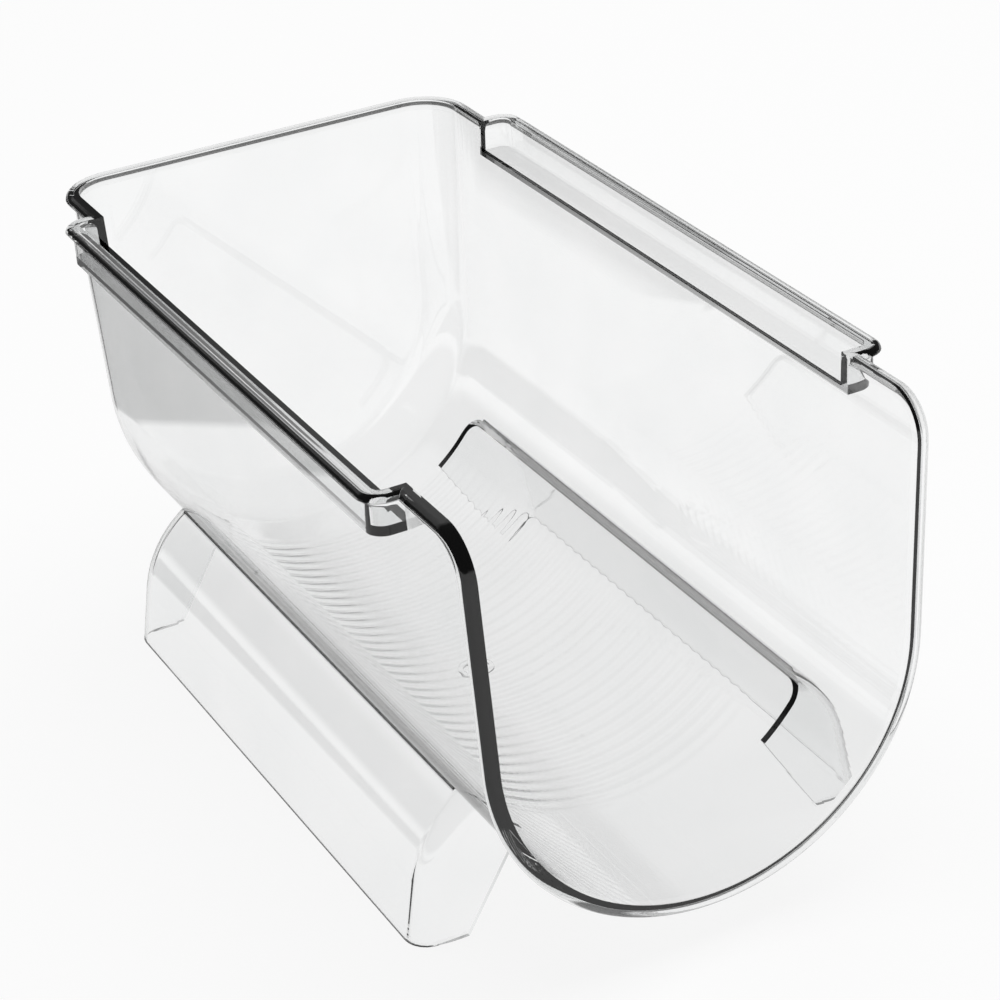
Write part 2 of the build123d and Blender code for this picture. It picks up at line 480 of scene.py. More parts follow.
def combine(piece, other, operation):
    """Joins another piece to this one or cuts it away, and removes the other."""
    activate(piece)
    bpy.ops.object.modifier_add(type="BOOLEAN")
    modifier = piece.modifiers[-1]
    modifier.operation = operation
    modifier.solver = "MANIFOLD"
    modifier.object = other
    bpy.ops.object.modifier_apply(modifier=modifier.name)
    if not piece.data.polygons:
        raise RuntimeError(f"{piece.name}: nothing is left after {other.name}")
    bpy.data.objects.remove(other, do_unlink=True)


def join(pieces, name):
    """Joins several pieces into one mesh."""
    deselect()
    for piece in pieces:
        piece.select_set(True)
    bpy.context.view_layer.objects.active = pieces[0]
    bpy.ops.object.join()
    pieces[0].name = name
    return pieces[0]


def trough_places(scene):
    """Levels and places that follow from the trough's sizes."""
    sizes = scene.organizer_trough
    sin = math.sin(sizes.draft)
    cos = math.cos(sizes.draft)
    bead_level = sizes.overall_height - sizes.bead_radius
    half_opening = sizes.opening_width / 2
    drop = half_opening - (bead_level - sizes.floor_height) * sin / cos
    radius = drop * cos / (1 - sin)
    axis_height = sizes.floor_height + radius
    rim_rise = RIM_SHARE * sizes.bead_radius
    return SimpleNamespace(
        sin=sin,
        cos=cos,
        bead_level=bead_level,
        half_opening=half_opening,
        radius=radius,
        axis_height=axis_height,
        tangent_height=axis_height - radius * sin,
        front_line=sizes.bead_radius - sizes.overall_length / 2,
        rim_rise=rim_rise,
        rim_top=bead_level + rim_rise,
        back_face=sizes.overall_length / 2 - 2 * sizes.bead_radius,
        right_normal=Vector((cos, 0, -sin)),
        right_up=Vector((sin, 0, cos)),
    )


def rail_places(scene):
    """Levels and places that follow from the rail's sizes."""
    trough = trough_places(scene)
    sizes = scene.organizer_rail
    wall = scene.organizer_trough.wall
    ledge_top = scene.organizer_trough.overall_height - sizes.depth
    side = trough.half_opening - (trough.bead_level - ledge_top) * trough.sin / trough.cos
    return SimpleNamespace(
        ledge_top=ledge_top,
        underside=ledge_top - wall,
        end=sizes.length / 2,
        lip_inner=side + sizes.width,
    )


def line_from_front_to_back(name, x, z, front, back):
    """Starts a piece as a single edge along the organizer."""
    deselect()
    bpy.ops.mesh.primitive_plane_add(size=1)
    piece = name_new(name)
    pick(piece, "VERT", lambda place: place.x < 0)
    bpy.ops.mesh.delete(type="VERT")
    bpy.ops.mesh.select_all(action="SELECT")
    bpy.ops.transform.resize(value=(1, back - front, 1))
    # The edge that is left lies half the plane's size to the right of the middle
    bpy.ops.transform.translate(value=(x - 0.5, (front + back) / 2, z))
    return piece


def trough_solid(scene, name, outset, front, top, rows_end=None):
    """The trough's filled shape on its inner face, or so far outside it.

    Where a rows_end is given, its faces are cut into fine rows from the front to there.
    """
    places = trough_places(scene)
    sizes = scene.organizer_trough
    radius = places.radius + outset
    tangent_x = radius * places.cos
    tangent_z = places.axis_height - radius * places.sin
    slope = places.sin / places.cos
    top_x = places.half_opening + outset / places.cos + (top - places.bead_level) * slope
    rise = Vector((top_x - tangent_x, 0, top - tangent_z))
    back = sizes.overall_length / 2 + OVERRUN
    piece = line_from_front_to_back(name, tangent_x, tangent_z, front, rows_end or back)
    if rows_end is not None:
        pitches = round((rows_end - front) / scene.organizer_grip.pitch)
        for count in (pitches, WAVE_STEPS):
            bpy.ops.mesh.subdivide(number_cuts=count - 1)
        pick(piece, "VERT", lambda place: place.y > rows_end - NEAR)
        extrude((0, back - rows_end, 0))
        bpy.ops.mesh.select_all(action="SELECT")
    turn((0, 0, places.axis_height), (0, 1, 0), math.pi - 2 * sizes.draft, TROUGH_STEPS)
    extrude((-rise.x, 0, rise.z))
    pick(piece, "EDGE", lambda place: (place - Vector((tangent_x, place.y, tangent_z))).length < NEAR)
    extrude(rise)
    pick(piece, "EDGE", lambda place: place.z > top - NEAR)
    bpy.ops.mesh.edge_face_add()
    bpy.ops.mesh.select_all(action="SELECT")
    bpy.ops.mesh.fill_holes(sides=0)
    back_point = Vector((0, places.back_face + outset / places.cos, places.bead_level))
    back_normal = Vector((0, places.cos, -places.sin))
    cut_off(back_point, back_normal, True)

    def on_back_loop(place):
        return abs((place - back_point).dot(back_normal)) < NEAR and place.z < top - NEAR

    pick(piece, "EDGE", on_back_loop)
    bevel(sizes.back_corner + outset, BACK_CORNER_STEPS)
    return piece


def raise_waves(scene, core):
    """Presses the soft grip ribs into the core's underside, so that they stand on the trough's floor."""
    places = trough_places(scene)
    grip = scene.organizer_grip
    half_length = scene.organizer_trough.overall_length / 2
    front = grip.front_margin - half_length
    back = half_length - grip.back_margin
    mesh = bmesh.from_edit_mesh(core.data)
    for vertex in mesh.verts:
        place = vertex.co
        reach = Vector((place.x, 0, place.z - places.axis_height))
        if abs(reach.length - places.radius) > NEAR or not front < place.y < back:
            continue
        angle = math.atan2(abs(reach.x), -reach.z)
        # The ribs die out towards their ends, and the first and the last ones are lower
        side_share = 1 - min(angle / grip.spread, 1) ** RIB_END_POWER
        end_share = min((place.y - front) / grip.pitch, (back - place.y) / grip.pitch, 1)
        wave = (1 - math.cos(2 * math.pi * (place.y - front) / grip.pitch)) / 2
        rise = grip.rib_height * wave * side_share * end_share
        vertex.co = place - reach.normalized() * rise
    bmesh.update_edit_mesh(core.data)


def bead_ring(scene, name, rim, outward, up):
    """Starts a stretch of the rim bead as a ring of points beside a point on the rim's inner edge.

    The bead is round above, and a hollow leads from it into the wall below.
    """
    sizes = scene.organizer_trough
    radius = sizes.bead_radius
    along = outward.cross(up)
    centre = rim + outward * radius
    frame_of_ring = Matrix((outward, up, along)).transposed()
    deselect()
    bpy.ops.mesh.primitive_circle_add(
        vertices=RING_CORNERS,
        radius=radius,
        fill_type="NOTHING",
        location=centre,
        rotation=frame_of_ring.to_euler(),
    )
    piece = name_new(name)
    pick(piece, "VERT", lambda place: (place - centre).dot(up) < HOLLOW_SHARE * radius)
    bpy.ops.mesh.delete(type="VERT")
    mesh = bmesh.from_edit_mesh(piece.data)
    ends = [vertex.co.copy() for vertex in mesh.verts if len(vertex.link_edges) == 1]
    outer_end = max(ends, key=lambda place: place.dot(outward))
    inner_end = min(ends, key=lambda place: place.dot(outward))
    hollow = (outer_end - rim).dot(outward) - sizes.wall
    pick(piece, "VERT", lambda place: (place - outer_end).length < NEAR)
    turn(outer_end - up * hollow, along, math.pi / 2, HOLLOW_STEPS)
    extrude(outward * (-sizes.wall / 2))
    sunk_end = outer_end - up * hollow - outward * (hollow + sizes.wall / 2)
    pick(piece, "VERT", lambda place: min((place - inner_end).length, (place - sunk_end).length) < NEAR)
    bpy.ops.mesh.edge_face_add()
    bpy.ops.mesh.select_all(action="SELECT")
    return piece


def front_bead(scene):
    """The rim bead round the open front, from one rail to the other."""
    places = trough_places(scene)
    sizes = scene.organizer_trough
    rail = rail_places(scene)
    radius = sizes.bead_radius
    corner = sizes.front_corner
    start_y = radius - rail.end
    turn_y = places.front_line + corner
    drop = (places.bead_level - places.tangent_height) / places.cos - corner
    right_normal = places.right_normal
    right_up = places.right_up
    left_normal = Vector((-right_normal.x, 0, right_normal.z))
    left_up = Vector((-right_up.x, 0, right_up.z))
    right_rim = Vector((places.half_opening, 0, places.bead_level))
    left_rim = Vector((-places.half_opening, 0, places.bead_level))
    start = right_rim + Vector((0, start_y, 0))
    piece = bead_ring(scene, "front_bead", start, right_normal, right_up)
    extrude((0, turn_y - start_y, 0))
    right_centre = right_rim - right_up * corner + Vector((0, turn_y, 0))
    left_centre = left_rim - left_up * corner + Vector((0, turn_y, 0))
    turn(right_centre, right_normal, math.pi / 2, FRONT_CORNER_STEPS)
    extrude(right_up * -drop)
    turn((0, 0, places.axis_height), (0, 1, 0), math.pi - 2 * sizes.draft, TROUGH_STEPS)
    extrude(left_up * drop)
    turn(left_centre, left_normal, math.pi / 2, FRONT_CORNER_STEPS)
    extrude((0, start_y - turn_y, 0))
    cut_off((places.half_opening, -rail.end, 0), (1, 1, 0), False)
    cut_off((-places.half_opening, -rail.end, 0), (-1, 1, 0), False)
    return piece


def back_bead(scene):
    """The rim bead along the back wall and round its corners, from one rail to the other."""
    places = trough_places(scene)
    sizes = scene.organizer_trough
    rail = rail_places(scene)
    radius = sizes.bead_radius
    start_y = rail.end - radius
    turn_x = places.half_opening - sizes.back_corner
    turn_y = places.back_face - sizes.back_corner
    start = Vector((places.half_opening, start_y, places.bead_level))
    piece = bead_ring(scene, "back_bead", start, Vector((1, 0, 0)), Vector((0, 0, 1)))
    extrude((0, turn_y - start_y, 0))
    turn((turn_x, turn_y, 0), (0, 0, 1), math.pi / 2, BACK_CORNER_STEPS)
    extrude((-2 * turn_x, 0, 0))
    turn((-turn_x, turn_y, 0), (0, 0, 1), math.pi / 2, BACK_CORNER_STEPS)
    extrude((0, start_y - turn_y, 0))
    cut_off((places.half_opening, rail.end, 0), (1, -1, 0), False)
    cut_off((-places.half_opening, rail.end, 0), (-1, -1, 0), False)
    return piece


def rail_bead(scene, side):
    """The rim bead round one rail's lip and end walls. The side is 1 on the right and -1 on the left."""
    places = trough_places(scene)
    sizes = scene.organizer_trough
    rail = rail_places(scene)
    corner = scene.organizer_rail.corner
    radius = sizes.bead_radius
    turn_x = rail.lip_inner - corner
    turn_y = rail.end - corner
    start_x = places.half_opening - radius
    start = Vector((side * start_x, -rail.end, places.bead_level))
    piece = bead_ring(scene, "rail_bead", start, Vector((0, -1, 0)), Vector((0, 0, 1)))
    extrude((side * (turn_x - start_x), 0, 0))
    turn((side * turn_x, -turn_y, 0), (0, 0, side), math.pi / 2, RAIL_CORNER_STEPS)
    extrude((0, 2 * turn_y, 0))
    turn((side * turn_x, turn_y, 0), (0, 0, side), math.pi / 2, RAIL_CORNER_STEPS)
    extrude((side * (start_x - turn_x), 0, 0))
    cut_off((side * places.half_opening, -rail.end, 0), (-side, -1, 0), False)
    cut_off((side * places.half_opening, rail.end, 0), (-side, 1, 0), False)
    return piece


def rail_block(scene, name, outset, low, high):
    """A block over both rails, inside their lips and end walls or so far outside them."""
    rail = rail_places(scene)
    half_width = rail.lip_inner + outset
    half_length = rail.end + outset
    deselect()
    bpy.ops.mesh.primitive_cube_add(
        size=1,
        location=(0, 0, (low + high) / 2),
        scale=(2 * half_width, 2 * half_length, high - low),
    )
    piece = name_new(name)
    pick(piece, "EDGE", lambda place: abs(place.z - (low + high) / 2) < NEAR)
    bevel(scene.organizer_rail.corner + outset, RAIL_CORNER_STEPS)
    close_up()
    return piece


def foot_bend(scene):
    """Places along the right foot's outer face: its straight lower part, its bend and its root."""
    places = trough_places(scene)
    rail = rail_places(scene)
    sizes = scene.organizer_foot
    lean = Vector((-math.tan(sizes.slope), 0, 1))
    normal = Vector((math.cos(sizes.slope), 0, math.sin(sizes.slope)))
    ground = Vector((rail.lip_inner - sizes.clearance, 0, 0))
    knee = ground + lean * sizes.knee_height
    outer_radius = places.radius + scene.organizer_trough.wall
    root_x = math.sqrt(outer_radius ** 2 - (places.axis_height - sizes.root_height) ** 2)
    root = Vector((root_x, 0, sizes.root_height))
    chord = knee - root
    radius = chord.length_squared / (2 * chord.dot(normal))
    centre = knee - normal * radius
    root_normal = (root - centre).normalized()
    return SimpleNamespace(
        lean=lean,
        normal=normal,
        ground=ground,
        knee=knee,
        root=root,
        radius=radius,
        centre=centre,
        root_normal=root_normal,
        root_tangent=Vector((-root_normal.z, 0, root_normal.x)),
        angle=math.acos(normal.dot(root_normal)),
    )


def foot_solid(scene, name, side, inset, half_length, low, inner_points):
    """The foot's filled shape behind a line so far inside its outer face, as deep as the level low."""
    sizes = scene.organizer_foot
    bend = foot_bend(scene)
    start = bend.ground + bend.lean * low - Vector((inset / bend.normal.x, 0, 0))
    knee_inside = bend.knee - bend.normal * inset
    run = bend.centre + bend.root_normal * (bend.radius - inset) + bend.root_tangent * OVERRUN
    mirror = Vector((side, 1, 1))
    piece = line_from_front_to_back(name, side * start.x, start.z, -half_length, half_length)
    extrude((knee_inside - start) * mirror)
    turn(bend.centre * mirror, (0, -side, 0), bend.angle, FOOT_BEND_STEPS)
    extrude(bend.root_tangent * OVERRUN * mirror)
    last = run
    for point in [Vector((x, 0, z)) for x, z in inner_points]:
        extrude((point - last) * mirror)
        last = point
    start_place = start * mirror
    last_place = last * mirror

    def at_the_gap(place):
        across = Vector((place.x, 0, place.z))
        return (across - start_place).length < NEAR or (across - last_place).length < NEAR

    pick(piece, "EDGE", at_the_gap)
    bpy.ops.mesh.edge_face_add()
    bpy.ops.mesh.select_all(action="SELECT")
    bpy.ops.mesh.fill_holes(sides=0)
    centre_place = bend.centre * mirror

    def on_outer_corner(place):
        reach = Vector((place.x, 0, place.z)) - centre_place
        at_end = abs(abs(place.y) - half_length) < NEAR
        return at_end and reach.x * side > 0 and reach.length > bend.radius - inset - BEND_MARGIN

    pick(piece, "EDGE", on_outer_corner)
    bevel(sizes.corner - inset, FOOT_CORNER_STEPS)
    close_up()
    return piece


def round_ground_edges(piece, ends, inner_x, radius):
    """Rounds a foot's two long edges on the ground with their corners, but not those across its ends."""
    activate(piece)
    bpy.ops.object.mode_set(mode="EDIT")
    bpy.ops.mesh.select_mode(type="EDGE")
    bpy.ops.mesh.select_all(action="DESELECT")
    mesh = bmesh.from_edit_mesh(piece.data)
    for edge in mesh.edges:
        place = middle_of(edge)
        across_end = any(abs(abs(place.y) - end) < NEAR for end in ends)
        if abs(place.z) < NEAR and abs(place.x) > inner_x + NEAR and not across_end:
            edge.select_set(edge.calc_face_angle() > SHARP_ANGLE)
    bmesh.update_edit_mesh(piece.data)
    bevel(radius, GROUND_ROUND_STEPS)
    bpy.ops.object.mode_set(mode="OBJECT")


def root_fillet(scene, side):
    """The small fillet where a foot's outer face springs from the trough."""
    places = trough_places(scene)
    bend = foot_bend(scene)
    sizes = scene.organizer_foot
    fillet = sizes.root_fillet
    outer_radius = places.radius + scene.organizer_trough.wall
    axis = Vector((0, 0, places.axis_height))
    span = bend.centre - axis
    # The fillet's centre is so far outside the trough's outer face and the foot's
    far = outer_radius + fillet
    near = bend.radius + fillet
    along = (far ** 2 - near ** 2 + span.length_squared) / (2 * span.length)
    across = math.sqrt(far ** 2 - along ** 2)
    way = span.normalized()
    outward = Vector((-way.z, 0, way.x))
    if outward.x < 0:
        outward = -outward
    centre = axis + way * along + outward * across
    on_trough = (axis - centre).normalized()
    on_foot = (bend.centre - centre).normalized()
    start = centre + on_trough * fillet
    end = centre + on_foot * fillet
    sunk_start = start + on_trough * sizes.root_sink
    sunk_end = end + on_foot * sizes.root_sink
    sunk_root = bend.root - bend.root_normal * sizes.root_sink
    angle = on_trough.angle(on_foot)
    turning = math.copysign(1, on_trough.cross(on_foot).y)
    mirror = Vector((side, 1, 1))
    reach = sizes.length / 2 - sizes.corner
    piece = line_from_front_to_back("root_fillet", side * sunk_start.x, sunk_start.z, -reach, reach)
    extrude((start - sunk_start) * mirror)
    turn(centre * mirror, (0, side * turning, 0), angle, FILLET_STEPS)
    extrude((sunk_end - end) * mirror)
    extrude((sunk_root - sunk_end) * mirror)
    bpy.ops.mesh.select_all(action="SELECT")
    bpy.ops.mesh.remove_doubles(threshold=SAME_PLACE)
    first = sunk_start * mirror
    last = sunk_root * mirror

    def at_the_gap(place):
        across_piece = Vector((place.x, 0, place.z))
        return (across_piece - first).length < NEAR or (across_piece - last).length < NEAR

    pick(piece, "EDGE", at_the_gap)
    bpy.ops.mesh.edge_face_add()
    close_up()
    return piece


def foot(scene, side):
    """One foot: a curved wall with a flange turned inwards at each end."""
    rail = rail_places(scene)
    sizes = scene.organizer_foot
    wall = scene.organizer_trough.wall
    half_length = sizes.length / 2
    flange_x = rail.lip_inner - sizes.clearance - sizes.flange_width
    flange_top_x = flange_x - math.tan(sizes.flange_slope) * sizes.root_height
    flange = [(flange_top_x, sizes.root_height), (flange_x, 0)]
    hollow = [(0, sizes.root_height + OVERRUN), (0, -OVERRUN)]
    name = "right_foot" if side > 0 else "left_foot"
    piece = foot_solid(scene, name, side, 0, half_length, 0, flange)
    cutter = foot_solid(scene, name + "_hollow", side, wall, half_length - wall, -OVERRUN, hollow)
    combine(piece, cutter, "DIFFERENCE")
    round_ground_edges(piece, (half_length, half_length - wall), flange_x, sizes.ground_round)
    return piece


class OrganizerOperator:
    """What the organizer's operators share."""

    bl_options = {"REGISTER", "UNDO"}


class ORGANIZER_OT_trough(OrganizerOperator, bpy.types.Operator):
    """Models the trough's outer shape, and the core that hollows it and leaves grip ribs on its floor"""

    bl_idname = "organizer.trough"
    bl_label = "Trough"

    def execute(self, context):
        scene = context.scene
        places = trough_places(scene)
        sizes = scene.organizer_trough
        front = places.front_line - places.rim_rise
        outer = trough_solid(scene, "moulding", sizes.wall, front, places.rim_top)

        def at_front_top(place):
            return place.y < front + NEAR and place.z > places.rim_top - NEAR

        pick(outer, "EDGE", at_front_top)
        bevel(sizes.front_corner + places.rim_rise, FRONT_CORNER_STEPS)
        close_up()
        core_front = -sizes.overall_length / 2 - OVERRUN
        rows_end = sizes.overall_length / 2 - scene.organizer_grip.back_margin
        core = trough_solid(scene, "core", 0, core_front, places.bead_level + OVERRUN, rows_end)
        raise_waves(scene, core)
        close_up()
        return {"FINISHED"}


class ORGANIZER_OT_rails(OrganizerOperator, bpy.types.Operator):
    """Models the stacking rails: a ledge along each side, with a lip and end walls"""

    bl_idname = "organizer.rails"
    bl_label = "Stacking rails"

    def execute(self, context):
        scene = context.scene
        places = trough_places(scene)
        rail = rail_places(scene)
        wall = scene.organizer_trough.wall
        moulding = bpy.data.objects["moulding"]
        blocks = rail_block(scene, "rail_blocks", wall, rail.underside, places.rim_top)
        combine(moulding, blocks, "UNION")
        space = rail_block(scene, "rail_space", 0, rail.ledge_top, places.bead_level + OVERRUN)
        combine(moulding, space, "DIFFERENCE")
        return {"FINISHED"}


class ORGANIZER_OT_rim(OrganizerOperator, bpy.types.Operator):
    """Models the round bead that follows the whole rim"""

    bl_idname = "organizer.rim"
    bl_label = "Rim bead"

    def execute(self, context):
        scene = context.scene
        stretches = [front_bead(scene), rail_bead(scene, 1), back_bead(scene), rail_bead(scene, -1)]
        rim = join(stretches, "rim")
        bpy.ops.object.mode_set(mode="EDIT")
        bpy.ops.mesh.select_all(action="SELECT")
        bpy.ops.mesh.remove_doubles(threshold=RIM_JOINT)
        close_up()
        combine(bpy.data.objects["moulding"], rim, "UNION")
        return {"FINISHED"}


class ORGANIZER_OT_feet(OrganizerOperator, bpy.types.Operator):
    """Models the two feet, and hollows the trough once they are joined to it"""

    bl_idname = "organizer.feet"
    bl_label = "Feet"

    def execute(self, context):
        moulding = bpy.data.objects["moulding"]
        for side in (1, -1):
            combine(moulding, foot(context.scene, side), "UNION")
            combine(moulding, root_fillet(context.scene, side), "UNION")
        combine(moulding, bpy.data.objects["core"], "DIFFERENCE")
        return {"FINISHED"}


class ORGANIZER_OT_gate(OrganizerOperator, bpy.types.Operator):
    """Models the ring under the floor where the plastic flowed into the mould"""

    bl_idname = "organizer.gate"
    bl_label = "Gate ring"

    def execute(self, context):
        scene = context.scene
        trough = scene.organizer_trough
        grip = scene.organizer_grip
        moulding = bpy.data.objects["moulding"]
        deselect()
        low = trough.floor_height - trough.wall - grip.gate_height
        bpy.ops.mesh.primitive_circle_add(
            vertices=GATE_STEPS,
            radius=grip.gate_radius,
            fill_type="NGON",
            location=(0, 0, low),
        )
        ring = name_new("gate_ring")
        bpy.ops.mesh.inset(thickness=grip.gate_width)
        bpy.ops.mesh.delete(type="FACE")
        bpy.ops.mesh.select_all(action="SELECT")
        extrude((0, 0, trough.wall / 2 + grip.gate_height))
        close_up()
        combine(moulding, ring, "UNION")
        return {"FINISHED"}


def add_node(tree, kind, inputs=None, settings=None):
    """Adds a node with its settings, and gives each input a value or another node's output."""
    node = tree.nodes.new(kind)
    for name, value in (settings or {}).items():
        setattr(node, name, value)
    for name, value in (inputs or {}).items():
        if isinstance(value, bpy.types.NodeSocket):
            tree.links.new(value, node.inputs[name])
        else:
            node.inputs[name].default_value = value
    return node


def calculate(tree, operation, first, second):
    """Adds a node that calculates with two numbers, and gives its output."""
    return add_node(tree, "ShaderNodeMath", {0: first, 1: second}, {"operation": operation}).outputs[0]


def soft_edge(tree, value, edge, before, after):
    """Adds a node that goes from one number to another over a soft edge, and gives its output."""
    inputs = {
        "Value": value,
        "From Min": edge[0],
        "From Max": edge[1],
        "To Min": before,
        "To Max": after,
    }
    return add_node(tree, "ShaderNodeMapRange", inputs).outputs["Result"]


def mix(tree, kind, factor, first, second):
    """Adds a node that mixes two numbers or two colours by a factor, and gives its output."""
    # The mixing node has sockets of its own for each kind of value
    first_input, second_input, output = {"FLOAT": (2, 3, 0), "RGBA": (6, 7, 2)}[kind]
    inputs = {"Factor": factor, first_input: first, second_input: second}
    return add_node(tree, "ShaderNodeMix", inputs, {"data_type": kind}).outputs[output]


def new_material(name):
    """Makes an empty material, and gives it with its node tree."""
    material = bpy.data.materials.new(name)
    material.use_nodes = True
    material.node_tree.nodes.clear()
    return material, material.node_tree


def clear_polystyrene(scene):
    """Clear general-purpose polystyrene, injection moulded in a polished mould.

    It is as clear as glass and a little heavier in its reflections. What the eye gets is hard, clean
    highlights, black lines where a wall is seen end on, and faint flow lines.
    """
    colours = scene.organizer_finish
    material, tree = new_material("clear_polystyrene")
    place = add_node(tree, "ShaderNodeTexCoord").outputs["Object"]
    flow_inputs = {
        "Vector": place,
        "Scale": FLOW_SCALE,
        "Detail": FLOW_DETAIL,
        "Roughness": FLOW_ROUGHNESS,
    }
    flow = add_node(tree, "ShaderNodeTexNoise", flow_inputs).outputs["Fac"]
    plain = linear_colour(colours.plastic)
    tint = mix(tree, "RGBA", flow, plain, linear_colour(colours.plastic_flow))
    surface_inputs = {
        "Base Color": tint,
        "Metallic": 0.0,
        "Roughness": 0.0,
        "IOR": REFRACTION,
        "Transmission Weight": 1.0,
    }
    surface = add_node(tree, "ShaderNodeBsdfPrincipled", surface_inputs).outputs["BSDF"]
    # Light that is led along inside a wall fades over some centimetres, and straight through it hardly does
    depth_inputs = {"Color": linear_colour(colours.depth), "Density": FADING}
    depth = add_node(tree, "ShaderNodeVolumeAbsorption", depth_inputs).outputs["Volume"]
    add_node(tree, "ShaderNodeOutputMaterial", {"Surface": surface, "Volume": depth})
    return material


class ORGANIZER_OT_moulding(OrganizerOperator, bpy.types.Operator):
    """Finishes the moulding: faces outwards, smooth shading and the clear plastic"""

    bl_idname = "organizer.moulding"
    bl_label = "Finish of the moulding"

    def execute(self, context):
        moulding = bpy.data.objects["moulding"]
        moulding.name = "organizer_moulding"
        activate(moulding)
        bpy.ops.object.mode_set(mode="EDIT")
        bpy.ops.mesh.select_all(action="SELECT")
        bpy.ops.mesh.normals_make_consistent(inside=False)
        bpy.ops.object.mode_set(mode="OBJECT")
        bpy.ops.object.shade_smooth_by_angle(angle=SHARP_ANGLE)
        bpy.ops.object.modifier_add(type="WEIGHTED_NORMAL")
        weights = moulding.modifiers[-1]
        weights.keep_sharp = True
        weights.weight = LARGE_FACE_WEIGHT
        bpy.ops.object.modifier_apply(modifier=weights.name)
        moulding.data.materials.clear()
        moulding.data.materials.append(clear_polystyrene(context.scene))
        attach(moulding, "root")
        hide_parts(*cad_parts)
        return {"FINISHED"}


def table_paper(scene):
    """Matt white paper on a table, with a painted dark reflection past its far left corner.

    It shows as white behind and through the organizer and keeps a soft shadow. As painted reflection, the
    plastic mirrors it a little darker, and mirrors it dark past that corner, where the camera still sees it
    white.
    """
    material, tree = new_material("white_paper")
    paper_inputs = {
        "Base Color": linear_colour(scene.organizer_finish.floor),
        "Roughness": PAPER_ROUGHNESS,
        "Specular IOR Level": 0.0,
    }
    paper = add_node(tree, "ShaderNodeBsdfPrincipled", paper_inputs).outputs["BSDF"]
    rays = add_node(tree, "ShaderNodeLightPath").outputs
    place = add_node(tree, "ShaderNodeTexCoord").outputs["Object"]
    split = add_node(tree, "ShaderNodeSeparateXYZ", {"Vector": place}).outputs
    # Painted reflection: a patch past the paper's far left corner, dark only to rays that were mirrored
    lead = calculate(tree, "SUBTRACT", split["Y"], split["X"])
    behind = soft_edge(tree, lead, DARK_REFLECTION_LEAD, 0.0, 1.0)
    left = soft_edge(tree, split["X"], DARK_REFLECTION_LEFT, 0.0, 1.0)
    corner = calculate(tree, "MULTIPLY", behind, left)
    # Painted reflection: mirrored rays see the paper a little darker, and dark in that patch
    mirrored = soft_edge(tree, corner, (0.0, 1.0), MIRRORED_PAPER, PAINTED_DARK_REFLECTION)
    # Light that has been mirrored at least once on its way
    by_mirror = calculate(tree, "GREATER_THAN", rays["Glossy Depth"], 0.5)
    strength = mix(tree, "FLOAT", by_mirror, 1.0, mirrored)
    white = add_node(tree, "ShaderNodeEmission", {"Strength": strength}).outputs["Emission"]
    seen = rays["Is Camera Ray"]
    for kind in ("Is Transmission Ray", "Is Glossy Ray"):
        seen = calculate(tree, "MAXIMUM", seen, rays[kind])
    # The rest of what is seen is the lit paper, which carries the shadow
    share = calculate(tree, "MULTIPLY", seen, PAPER_WHITE_SHARE)
    surface = add_node(tree, "ShaderNodeMixShader", {0: share, 1: paper, 2: white}).outputs["Shader"]
    add_node(tree, "ShaderNodeOutputMaterial", {"Surface": surface})
    return material


def stage_floor(scene):
    """The pale floor just below the feet."""
    deselect()
    bpy.ops.mesh.primitive_grid_add(
        x_subdivisions=FLOOR_DIVISIONS,
        y_subdivisions=FLOOR_DIVISIONS,
        size=FLOOR_WIDTH,
        location=(0, 0, -FLOOR_DROP),
    )
    floor = name_new("stage_floor")
    bpy.ops.object.mode_set(mode="OBJECT")
    floor.data.materials.append(table_paper(scene))


def overhead_softbox():
    """The one lamp: large, soft, overhead, and in no reflection."""
    deselect()
    bpy.ops.object.light_add(type="AREA", location=LAMP_PLACE, rotation=(0.0, LAMP_TILT, 0.0))
    lamp = bpy.context.active_object
    lamp.name = "overhead_softbox"
    lamp.data.shape = "RECTANGLE"
    lamp.data.size = LAMP_SIZE
    lamp.data.size_y = LAMP_SIZE
    lamp.data.energy = LAMP_POWER
    lamp.visible_glossy = False
    lamp.visible_transmission = False


def studio_world(scene):
    """The room round the table, which lights the organizer and is mirrored in it. The camera sees white."""
    world = bpy.data.worlds.new("studio")
    scene.world = world
    world.use_nodes = True
    tree = world.node_tree
    tree.nodes.clear()
    way = add_node(tree, "ShaderNodeTexCoord").outputs["Generated"]
    split = add_node(tree, "ShaderNodeSeparateXYZ", {"Vector": way}).outputs
    # The room is dark above the table, but for the upper part of its back wall
    back_wall = soft_edge(tree, split["Y"], BACK_PART, ROOM_ABOVE, ROOM_BACK_WALL)
    above = soft_edge(tree, split["Z"], UPPER_PART, ROOM_ABOVE, back_wall)
    brightness = soft_edge(tree, split["Z"], ABOVE_TABLE, ROOM_AT_TABLE, above)
    room = add_node(tree, "ShaderNodeBackground", {"Color": brightness, "Strength": 1.0}).outputs[0]
    white = add_node(tree, "ShaderNodeBackground", {"Color": (1, 1, 1, 1), "Strength": 1.0}).outputs[0]
    by_camera = add_node(tree, "ShaderNodeLightPath").outputs["Is Camera Ray"]
    surface = add_node(tree, "ShaderNodeMixShader", {0: by_camera, 1: room, 2: white}).outputs["Shader"]
    add_node(tree, "ShaderNodeOutputWorld", {"Surface": surface})


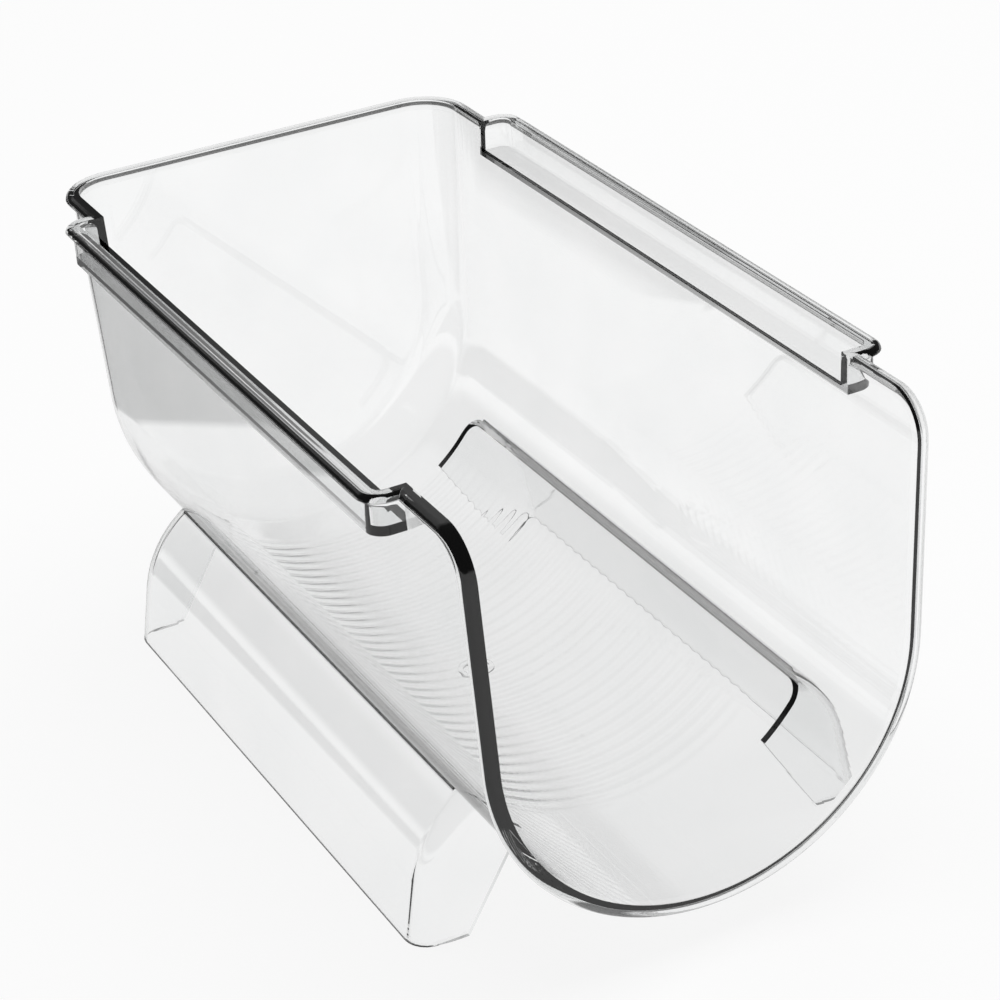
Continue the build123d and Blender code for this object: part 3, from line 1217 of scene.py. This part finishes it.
def photo_camera(scene):
    """The camera at the photograph's viewing angle."""
    deselect()
    bpy.ops.object.camera_add()
    camera = bpy.context.active_object
    camera.name = "photo_camera"
    axes = (Vector(CAMERA_RIGHT), -Vector(CAMERA_DOWN), -Vector(CAMERA_AHEAD))
    turned = Matrix(axes).transposed().to_4x4()
    camera.matrix_world = Matrix.Translation(CAMERA_PLACE) @ turned
    camera.data.lens = CAMERA_LENS
    camera.data.sensor_width = CAMERA_SENSOR
    camera.data.sensor_fit = "HORIZONTAL"
    camera.data.clip_end = CAMERA_REACH
    scene.camera = camera


class ORGANIZER_OT_stage(OrganizerOperator, bpy.types.Operator):
    """Sets the pale floor, the soft studio light and the camera"""

    bl_idname = "organizer.stage"
    bl_label = "Stage"

    def execute(self, context):
        scene = context.scene
        stage_floor(scene)
        overhead_softbox()
        studio_world(scene)
        photo_camera(scene)
        scene.view_settings.view_transform = "Standard"
        scene.cycles.max_bounces = WALLS_PASSED
        scene.cycles.transmission_bounces = WALLS_PASSED
        scene.cycles.glossy_bounces = MIRRORED_TIMES
        return {"FINISHED"}


class ORGANIZER_PT_panel(bpy.types.Panel):
    """Lists the organizer's pieces in the order in which they are made"""

    bl_idname = "ORGANIZER_PT_panel"
    bl_label = "Bottle organizer"
    bl_space_type = "VIEW_3D"
    bl_region_type = "UI"
    bl_category = "Organizer"

    def draw(self, context):
        for kind in OPERATORS:
            self.layout.operator(kind.bl_idname)


OPERATORS = (
    ORGANIZER_OT_trough,
    ORGANIZER_OT_rails,
    ORGANIZER_OT_rim,
    ORGANIZER_OT_feet,
    ORGANIZER_OT_gate,
    ORGANIZER_OT_moulding,
    ORGANIZER_OT_stage,
)
GROUPS = {
    "organizer_trough": TroughSizes,
    "organizer_rail": RailSizes,
    "organizer_foot": FootSizes,
    "organizer_grip": GripSizes,
    "organizer_finish": FinishColours,
}


def register():
    """Registers the add-on's classes and its settings on the scene."""
    for kind in (*GROUPS.values(), *OPERATORS, ORGANIZER_PT_panel):
        bpy.utils.register_class(kind)
    for name, group in GROUPS.items():
        setattr(bpy.types.Scene, name, bpy.props.PointerProperty(type=group))


def unregister():
    """Takes the settings and the classes out again."""
    for name in GROUPS:
        delattr(bpy.types.Scene, name)
    for kind in (ORGANIZER_PT_panel, *OPERATORS, *GROUPS.values()):
        bpy.utils.unregister_class(kind)


def main():
    """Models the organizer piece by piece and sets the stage."""
    register()
    for kind in OPERATORS:
        group, name = kind.bl_idname.split(".")
        getattr(getattr(bpy.ops, group), name)()


if __name__ == "__main__":
    main()
